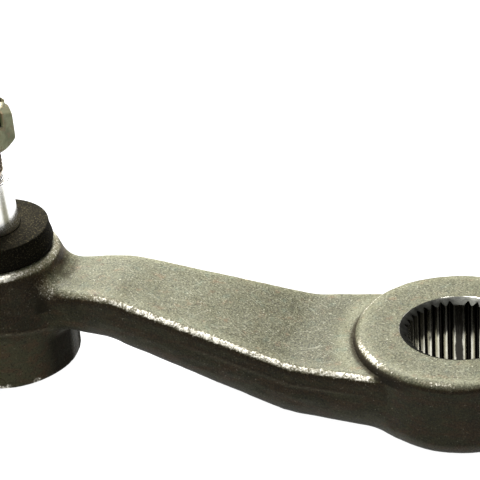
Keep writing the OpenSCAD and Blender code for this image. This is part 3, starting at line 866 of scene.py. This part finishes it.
# %% Painted shade and sheen
# Painted shade along the boss's wall, in creases, in the crooks beside the arm and in the valley by the seal
arm_side = ramp(x, -8, -16)
wall_foot = ramp(from_bore, 31.8, 31) * (from_bore > 29.8) * ramp(z, 22.5, 21.5)
boss_wall = (from_bore > 28) * (from_bore < 31.4) * ramp(up, 0.7, 0.5)
by_wall = np.maximum(wall_foot, boss_wall) * arm_side * (z > 20)
creases = ramp(-fine, 0.02, 0.08) * ramp(up, 0, 0.33)
from_arm = np.abs((round_ball + 180) % 360 - 180)
crook = ramp(from_arm, 45, 30) * ramp(from_arm, 4, 10) * on_socket
crook *= ramp(z, 21, 17) * ramp(from_ball, 20, 21)
valley = ramp(-wide, 0.006, 0.03) * ramp(from_ball, 30, 26) * ramp(up, 0.85, 0.6) * (z > 28)
mark(arm, "painted_shade", np.maximum.reduce([creases, by_wall, 0.8 * crook, 0.85 * valley]) * outside_bore)

# Painted sheen on the crests, and on the arm just before the boss's wall
crests = ramp(wide, 0.008, 0.05) * outside_bore
before_wall = ramp(from_bore, 31.5, 33) * ramp(from_bore, 38, 34) * arm_side
mark(arm, "painted_sheen", np.maximum(crests, before_wall) * ramp(up, 0.8, 0.95))

# %% Finished arm
smooth(arm, 35)
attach(arm, "arm")
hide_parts("arm_forging")
print("arm:", triangles(arm), "triangles")

# %% [markdown]
# The stud is ground bright. Its round head sits in the socket, the taper draws into the eye of the
# linkage, and the nut runs on the thread. One profile is turned for all of it. A Screw modifier could
# make the thread, but as a strip that has to be joined on. Here the profile has ten points to a pitch,
# and each turned point moves in towards the axis by its place along the helix, which cuts a true screw
# thread that runs out into the shank. The finish is duller above the taper, where nothing is ground.


# %% Ground steel
def ground_steel():
    finish = Finish("ground_steel")
    rings = finish.noise(0.25 * mm, 2, 0.6, finish.stretched(0.03, 0.03, 1))
    stain = finish.noise(4 * mm, 3)
    ground = finish.mix(finish.step(stain, 0.45, 0.75) * 0.4, (0.92, 0.92, 0.9), (0.8, 0.76, 0.66))
    height = finish.axis("Z")
    above_taper = finish.step(height, 65.2 * mm, 65.4 * mm)
    threaded = finish.step(height, 66 * mm, 67 * mm)
    colour = finish.mix(threaded * 0.7, ground, (0.78, 0.62, 0.36))
    return finish.set(
        Base_Color=colour, Metallic=1 - above_taper * 0.6, Roughness=0.22 + (rings - 0.5) * 0.12,
        Normal=finish.bump(rings, 0.002 * mm))


bright = ground_steel()
print("ground steel nodes:", len(bright.node_tree.nodes))

# %% Ball stud
ball_z, head_r, neck_r, shoulder_z = ball.z / mm, 11.2, 6.8, 26.82
neck_top, taper_z, taper_top, stud_end, end_chamfer = 46.09, 47.69, 65.49, 90.99, 1
taper_low_r, taper_high_r, relief_r, thread_r = 9.0, 7.89, 5.75, 6.35
thread_start, thread_lead, thread_pitch = 67.1, 0.6, 1.27
head_steps, pitch_steps = 12, 10
head_end = math.asin((shoulder_z - ball_z) / head_r)
head = [(head_r * math.cos(a), ball_z + head_r * math.sin(a))
        for a in np.linspace(-math.pi / 2, head_end, head_steps + 1)]
shank = [
    (*head[-1], 0.4), (neck_r, shoulder_z), (neck_r, neck_top, 0.6), (taper_low_r, taper_z, 0.5),
    (taper_high_r, taper_top, 0.35), (relief_r, taper_top, 0.4), (relief_r, thread_start)]
thread_end = stud_end - end_chamfer
thread_zs = np.arange(thread_start + thread_lead, thread_end, thread_pitch / pitch_steps)
thread = [(thread_r, z) for z in thread_zs]
end = [(thread_r, thread_end), (thread_r - end_chamfer, stud_end, 0.3), (0, stud_end)]
stud = lathe("ground_stud", ball, rounded([(0, head[0][1])] + head[1:-1] + shank + thread + end))
print("stud's profile has", len(thread), "points in the thread")

# %% Screw thread
thread_depth, thread_flat = 0.72, 0.15
points = points_of(stud) / mm
x, y, z = points[:, 0] - ball.x / mm, points[:, 1] - ball.y / mm, points[:, 2]
radius = np.hypot(x, y)
helix = (np.arctan2(y, x) / math.tau - z / thread_pitch) % 1
# Straight flanks between flat crests and roots
groove = np.clip(np.abs(helix * 2 - 1) * (1 + 2 * thread_flat) - thread_flat, 0, 1)
run_out = np.clip((z - thread_start - thread_lead) / thread_pitch, 0, 1)
cut = thread_depth * groove * run_out * (radius > relief_r + 0.1) * (z > thread_start)
shrink = (radius - cut) / np.maximum(radius, 0.001)
set_points(stud, np.stack([ball.x / mm + x * shrink, ball.y / mm + y * shrink, z], 1) * mm)
print("deepest cut of the thread:", round(float(cut.max()), 2), "mm")

# %% Finished stud
nut_turn = math.radians(6)
cotter_r, cotter_drop, drill_length = 1.8, 5.6, 30
bpy.ops.mesh.primitive_cylinder_add(
    vertices=32, radius=cotter_r * mm, depth=drill_length * mm,
    location=(ball.x, ball.y, (stud_end - cotter_drop) * mm), rotation=(math.pi / 2, 0, nut_turn))
drill = rest_at_origin(new_piece("cotter_drill"))
dress(stud, bright)
dress(drill, bright)
carve(stud, drill)
smooth(stud, 30)
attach(stud, "stud")
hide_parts("ball_stud")
print("stud:", triangles(stud), "triangles")

# %% [markdown]
# The slotted nut starts as a six-sided cylinder. What it shares with a turned blank gives the chamfered
# corners, and three bars cut the six slots for a cotter pin. A bevel softens the straight edges. Where
# the cuts meet in small corners it can't, so a fine remesh and a little smoothing finish them, because a
# plated nut has no knife edges. Its olive chromate is stained brown, most of all on the edges, and the
# insides of the slots are painted dark as shade.


# %% Plated steel
def plated_steel():
    finish = Finish("plated_steel")
    cloud = finish.noise(3 * mm, 3)
    grain = finish.noise(0.5 * mm, 3, 0.6)
    x, y = finish.axis("X") - ball.x, finish.axis("Y") - ball.y
    inside = 1 - finish.step((x * x + y * y) ** 0.5, 9.2 * mm, 9.9 * mm)
    # Painted shade inside the slots
    slot_shade = inside * (1 - finish.step(finish.axis("Z"), 88.3 * mm, 88.7 * mm))
    rust = finish.step(finish.noise(1.3 * mm, 3, 0.6) + finish.attribute("edge_wear_and_highlight") * 0.25, 0.5, 0.68)
    olive = finish.mix(finish.step(cloud, 0.3, 0.7), (0.21, 0.225, 0.115), (0.43, 0.445, 0.255))
    dusty = finish.mix(finish.step(finish.facing("Z"), 0.3, 0.7) * 0.75, olive, (0.085, 0.08, 0.05))
    colour = finish.mix(rust * 0.75, dusty, (0.31, 0.22, 0.12))
    return finish.set(
        Base_Color=finish.mix(slot_shade, colour, (0.004, 0.004, 0.003)), Metallic=0.25,
        Roughness=0.42 + (grain - 0.5) * 0.3, Normal=finish.bump(grain, 0.04 * mm))


plating = plated_steel()
print("plated steel nodes:", len(plating.node_tree.nodes))

# %% Slotted nut
nut_flat_r, nut_z, nut_top = 10.32, 75.79, 88.99
nut_corner_r = nut_flat_r / math.cos(math.pi / 6)
top_inset, bottom_inset, slot_w, slot_depth, nut_bore_r = 1.3, 0.9, 4.0, 5.4, 6.4
blank_r, past_face = nut_corner_r + 0.1, 1
rise = nut_corner_r - nut_flat_r + top_inset
bpy.ops.mesh.primitive_cylinder_add(
    vertices=6, radius=nut_corner_r * mm, depth=(nut_top - nut_z) * mm,
    location=(ball.x, ball.y, (nut_z + nut_top) / 2 * mm), rotation=(0, 0, nut_turn + math.pi / 6))
nut = rest_at_origin(new_piece("slotted_nut"))
nut_blank = lathe("nut_blank", ball, rounded([
    (0, nut_z), (nut_flat_r - bottom_inset, nut_z, 0.8), (blank_r, nut_z + rise, 1.2),
    (blank_r, nut_top - rise, 1.2), (nut_flat_r - top_inset, nut_top, 0.8), (0, nut_top)]))
carve(nut, nut_blank, "INTERSECT")
carve(nut, cylinder(
    "nut_bore", ball, nut_bore_r * mm, (nut_z - past_face) * mm, (nut_top + past_face) * mm))
for i in range(3):
    bpy.ops.mesh.primitive_cube_add(
        size=1, location=(ball.x, ball.y, (nut_top + (past_face - slot_depth) / 2) * mm),
        rotation=(0, 0, nut_turn + math.pi / 6 + i * math.pi / 3),
        scale=(4 * nut_flat_r * mm, slot_w * mm, (slot_depth + past_face) * mm))
    carve(nut, rest_at_origin(new_piece("slot_bar")))
print("cut nut:", triangles(nut), "triangles")

# %% Finished nut
edge_w, nut_skin_step = 0.35 * mm, 0.22 * mm
edit(nut, (bpy.ops.mesh.dissolve_limited, {"angle_limit": math.radians(1)}))
modify(nut, "BEVEL", width=edge_w, segments=3, limit_method="ANGLE", angle_limit=math.radians(35))
modify(nut, "REMESH", mode="VOXEL", voxel_size=nut_skin_step, adaptivity=0)
modify(nut, "SMOOTH", factor=0.5, iterations=4)
mark(nut, "edge_wear_and_highlight", ramp(bends(nut, 3)[0], 0.15, 0.9))
dress(nut, plating)
smooth(nut, 40)
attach(nut, "stud")
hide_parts("castle_nut")
print("nut:", triangles(nut), "triangles")

# %% [markdown]
# The dust seal is a thick rubber ring on the socket's rim. It bulges just above the rim, has a crisp
# upper edge and a flat top, and its lip follows the stud when that leans. It is turned like the stud,
# with the corners of its profile rounded as a mould would leave them. Only the top of the lip hugs the
# stud: below it the lip slants away, so that the bent ring stays clear of the stud's shoulder.


# %% Seal rubber
def seal_rubber():
    finish = Finish("seal_rubber")
    dust = finish.noise(0.45 * mm, 4, 0.7)
    grain = finish.noise(0.45 * mm, 2)
    smear = finish.noise(6 * mm, 2)
    black = finish.mix(finish.step(smear, 0.3, 0.7), (0.004, 0.0034, 0.0018), (0.008, 0.0068, 0.0036))
    dusty = finish.mix(finish.step(dust, 0.44, 0.56) * 0.8, black, (0.0105, 0.0088, 0.0042))
    colour = finish.mix(finish.step(dust, 0.54, 0.68) * 0.8, dusty, (0.085, 0.071, 0.037))
    return finish.set(
        Base_Color=colour, Roughness=0.85, Specular_IOR_Level=0.05,
        Normal=finish.bump(grain, 0.05 * mm, finish.bump(dust, 0.05 * mm)))


rubber = seal_rubber()
print("seal rubber nodes:", len(rubber.node_tree.nodes))

# %% Dust seal
seal_z, seal_top, bulge_h, side_h = 42.28, 49.68, 1.85, 2
seal_top_r, seal_side_r, bulge_r, seat_r, foot_r = 17.3, 17.4, 18.4, 17.5, 13.06
seal_lip_r, lip_t, lip_slant, inner_slope = 8.95, 2.2, 2.0, 1
seal = lathe("rubber_seal", ball, rounded([
    (foot_r, seal_z, 0.3), (seat_r, seal_z, 0.5), (bulge_r, seal_z + bulge_h, 1.4),
    (seal_side_r, seal_top - side_h, 1.2), (seal_top_r, seal_top, 0.35), (seal_lip_r, seal_top, 0.25),
    (seal_lip_r + lip_slant, seal_top - lip_t, 0.6), (foot_r, seal_top - lip_t - inner_slope, 0.5)]),
    steps=128)
dress(seal, rubber)
smooth(seal, 50)
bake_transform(seal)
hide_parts("dust_seal")
print("seal:", triangles(seal), "triangles")

# %% [markdown]
# The parts inside the socket, and the cover plate and grease fitting under it, are right as the CAD has
# them. Modelling them again would add nothing, so they keep their CAD shapes and get finishes of their
# own: ground steel for what bears, dark spring wire, a phosphated plate and a plated fitting.


# %% Finishes of the inner parts
def plain_steel(name, dark, light, roughness, grain_size, metallic=1.0):
    """Steel with a cloudy colour and a fine grain."""
    finish = Finish(name)
    cloud = finish.noise(2.5 * mm, 3)
    grain = finish.noise(grain_size, 3, 0.6)
    colour = finish.mix(finish.step(cloud, 0.3, 0.7), dark, light)
    return finish.set(
        Base_Color=colour, Metallic=metallic, Roughness=roughness + (grain - 0.5) * 0.25,
        Normal=finish.bump(grain, 0.03 * mm))


bearing_steel = plain_steel("bearing_steel", (0.42, 0.41, 0.39), (0.56, 0.56, 0.55), 0.25, 0.3 * mm)
spring_steel = plain_steel("spring_steel", (0.1, 0.1, 0.11), (0.2, 0.2, 0.22), 0.4, 0.3 * mm)
pressed_steel = plain_steel(
    "pressed_steel", (0.15, 0.145, 0.115), (0.23, 0.225, 0.185), 0.5, 0.4 * mm, metallic=0.6)
fitting_steel = plain_steel("fitting_steel", (0.4, 0.38, 0.28), (0.58, 0.56, 0.45), 0.3, 0.25 * mm)
finishes = {
    "upper_race": bearing_steel, "half_ball": bearing_steel, "pressure_seat": bearing_steel,
    "fitting_ball": bearing_steel, "preload_spring": spring_steel, "fitting_spring": spring_steel,
    "cover_plate": pressed_steel, "grease_fitting": fitting_steel}
for node, material in finishes.items():
    dress(nodes[node], material)
print("finished CAD nodes:", ", ".join(finishes))

# %% [markdown]
# Dressing a part must not change its size.

# %% End
print("pieces dressed")
